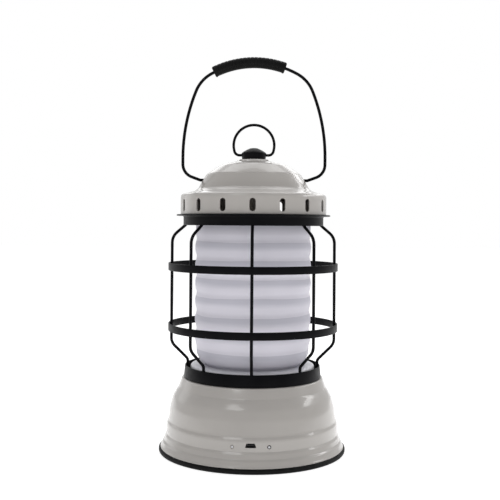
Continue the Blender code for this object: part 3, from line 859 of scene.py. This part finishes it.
def crown_cap():
    top = high("crown_cap").z
    outer = [
        (2.6, top),
        (12.6, top, 0.5),
        (13.7, 235.3, 0.7),
        (14.3, 234.8, 0.3),
        (22.4, 233.1, 5.0),
        (25.4, 232.5, 1.6),
        (28.2, 231.2, 4.0),
        (32.4, 228.3, 30.0),
        (37.5, 224.8, 0.5),
        (38.0, 224.15),
    ]
    finish_piece(turned("crown_cap_skin", sheet(outer, 0.8)), "lantern", "stone_paint", ["crown_cap"])


def finial():
    bottom, top = low("finial").z, high("finial").z
    outline = rounded(
        [
            (0, top),
            (3.0, top - 0.1, 4.0),
            (6.2, top - 1.6, 6.0),
            (8.8, top - 3.1, 4.0),
            (10.1, top - 4.3, 1.2),
            (10.1, top - 5.6, 1.5),
            (9.5, bottom, 0.3),
            (2.4, bottom),
            (2.4, 242.2),
            (0, 242.2),
        ],
        8,
    )
    knob = turned("finial_moulded", outline, 96, False)
    pivot = PIVOTS["hang_ring_swing"].z
    holes = [rod("hole", 1.4, 10, (side * 9.7, 0, pivot), "X", 24) for side in (-1, 1)]
    finish_piece(cut(knob, holes), "lantern", "black_plastic", ["finial"])


# ---------------------------------------------------------------- hang ring, bail and grip

RING_WIRE = 1.1
BAIL_WIRE = 1.25
TOP_ARC = 73.0  # the bail's radius under the grip


def walk(start, moves):
    """(x, z) points along a wire that starts level and bends clockwise.

    A move is a straight length, or a bend as (radius, degrees, steps).
    """
    here, heading = Vector(start), 0.0
    points = [here.copy()]
    for move in moves:
        if not isinstance(move, tuple):
            here = here + Vector((math.cos(heading), -math.sin(heading))) * move
            points.append(here)
            continue
        radius, degrees, steps = move
        centre = here - Vector((math.sin(heading), math.cos(heading))) * radius
        for k in range(1, steps + 1):
            angle = heading + math.radians(degrees) * k / steps
            points.append(centre + Vector((math.sin(angle), math.cos(angle))) * radius)
        heading += math.radians(degrees)
        here = points[-1]
    return points


def mirrored(half):
    """A whole wire as 3-D points, from its +X half."""
    return [(-p.x, 0, p.y) for p in reversed(half[1:])] + [(p.x, 0, p.y) for p in half]


def hang_ring():
    pivot = PIVOTS["hang_ring_swing"].z
    top = high("hang_ring").z - RING_WIRE
    arc = (16.5, 102.0, 34)
    corner = (4.2, 78.0, 12)
    spare = walk((0, top), [arc, corner])[-1].y - pivot
    half = walk((0, top), [arc, spare / math.sin(math.radians(arc[1])), corner])
    half.append(Vector((5.2, pivot)))
    piece = wire("hang_ring_wire", mirrored(half), RING_WIRE)
    finish_piece(piece, "ring", "black_paint", ["hang_ring"])


def bail():
    pivot = PIVOTS["bail_swing"].z
    top = high("bail_wire").z - BAIL_WIRE
    above = [(TOP_ARC, 28.3, 18), (28.0, 39.7, 20), (144.0, 22.0, 12)]
    below = [(11.0, 70.0, 18), 6.8, (4.0, 20.0, 6)]
    spare = walk((0, top), above + below)[-1].y - pivot
    half = walk((0, top), above + [spare] + below)
    half.append(Vector((35.5, pivot)))
    piece = wire("bail_rod", mirrored(half), BAIL_WIRE)
    finish_piece(piece, "bail", "black_paint", ["bail_wire"])


def bail_grip():
    """A moulded sleeve: ribs across its back, a ledge along each side, and a smooth keel under it."""
    centre = Vector((0, PIVOTS["grip_slide"].z))
    half_turn, rest_turn = math.radians(23.4), math.radians(-3.4)
    length = 2 * half_turn * TOP_ARC
    back = math.radians(112)  # the ribs reach this far round from the top
    rib_pitch, rib_depth, ledge = 2.95, 0.28, 0.35
    full, bore, rounding = 4.6, 1.45, 1.1
    sides, stations, end_steps, bore_steps = 64, 260, 6, 24
    bm = bmesh.new()
    rings = []

    def ring(along, radius_at):
        turn = rest_turn + (along - length / 2) / TOP_ARC
        verts = []
        for k in range(sides):
            angle = 2 * math.pi * k / sides
            out = TOP_ARC + radius_at(angle) * math.cos(angle)
            side = radius_at(angle) * math.sin(angle)
            point = (out * math.sin(turn), side, centre.y + out * math.cos(turn))
            verts.append(bm.verts.new(Vector(point) * MM))
        rings.append(verts)

    def outline(along, angle, inset):
        down = abs((angle + math.pi) % (2 * math.pi) - math.pi)  # 0 on the back, pi on the keel
        radius = full - inset
        edge = min(along, length - along)
        if down < back:
            phase = (along / rib_pitch) % 1
            groove = max(0.0, 1 - abs(phase - 0.5) / 0.2)
            fade = min(1, max(0, (edge - 2.2) / 0.6)) * min(1, (back - down) / 0.3)
            radius -= rib_depth * groove * groove * (3 - 2 * groove) * fade
        else:
            radius -= ledge * min(1, (down - back) / 0.09) * min(1, max(0, (edge - 1.4) / 0.5))
        return radius

    # Each end is rounded in a few rings: how far in from the end, and how much narrower.
    rounds = []
    for k in range(1, end_steps + 1):
        turn = math.pi / 2 * k / end_steps
        rounds.append((rounding * (1 - math.cos(turn)), rounding * (1 - math.sin(turn))))
    ring(0, lambda a: full - rounding)
    for inward, inset in rounds:
        ring(inward, lambda a, s=inward, i=inset: outline(s, a, i))
    for k in range(1, stations):
        along = rounding + (length - 2 * rounding) * k / stations
        ring(along, lambda a, s=along: outline(s, a, 0))
    for inward, inset in reversed(rounds):
        ring(length - inward, lambda a, s=length - inward, i=inset: outline(s, a, i))
    ring(length, lambda a: full - rounding)
    for k in range(bore_steps + 1):
        ring(length * (1 - k / bore_steps), lambda a: bore)
    for first, second in zip(rings, rings[1:] + rings[:1]):
        for k in range(sides):
            n = (k + 1) % sides
            bm.faces.new((first[k], first[n], second[n], second[k]))
    bmesh.ops.recalc_face_normals(bm, faces=bm.faces)
    mesh = bpy.data.meshes.new("bail_grip_moulded")
    bm.to_mesh(mesh)
    bm.free()
    finish_piece(link("bail_grip_moulded", mesh), "grip", "rubber", ["bail_grip"])


# ---------------------------------------------------------------- what stays as the CAD made it

def finish_cad_nodes():
    """Gives every CAD node that still shows the material of its slot."""
    slots = {part["node"]: part["material_slot"] for part in frame["record"]["subparts"]}
    for name, node in frame["nodes"].items():
        if node.hide_render:
            continue
        node.data.materials.clear()
        node.data.materials.append(MATERIALS[slots[name]])


shader_of(MATERIALS["black_plastic"]).inputs["Specular IOR Level"].default_value = 0.08
# The socket's metal is darkened to paint the shade inside the port's recess.
MATERIALS["shaded_socket_metal"] = bare_metal("shaded_socket_metal", (0.12, 0.12, 0.12), (0.2, 0.2, 0.2), 0.4)

bpy.context.scene.view_settings.view_transform = "Standard"
add_camera()
add_light()
add_floor()
base_shell()
foot_ring()
usb_port()
indicator_lenses()
collar_ring()
deck()
dimmer_knob()
diffuser()
cage_wires()
cage_bands()
top_ring()
vented_cap()
crown_cap()
finial()
hang_ring()
bail()
bail_grip()
finish_cad_nodes()
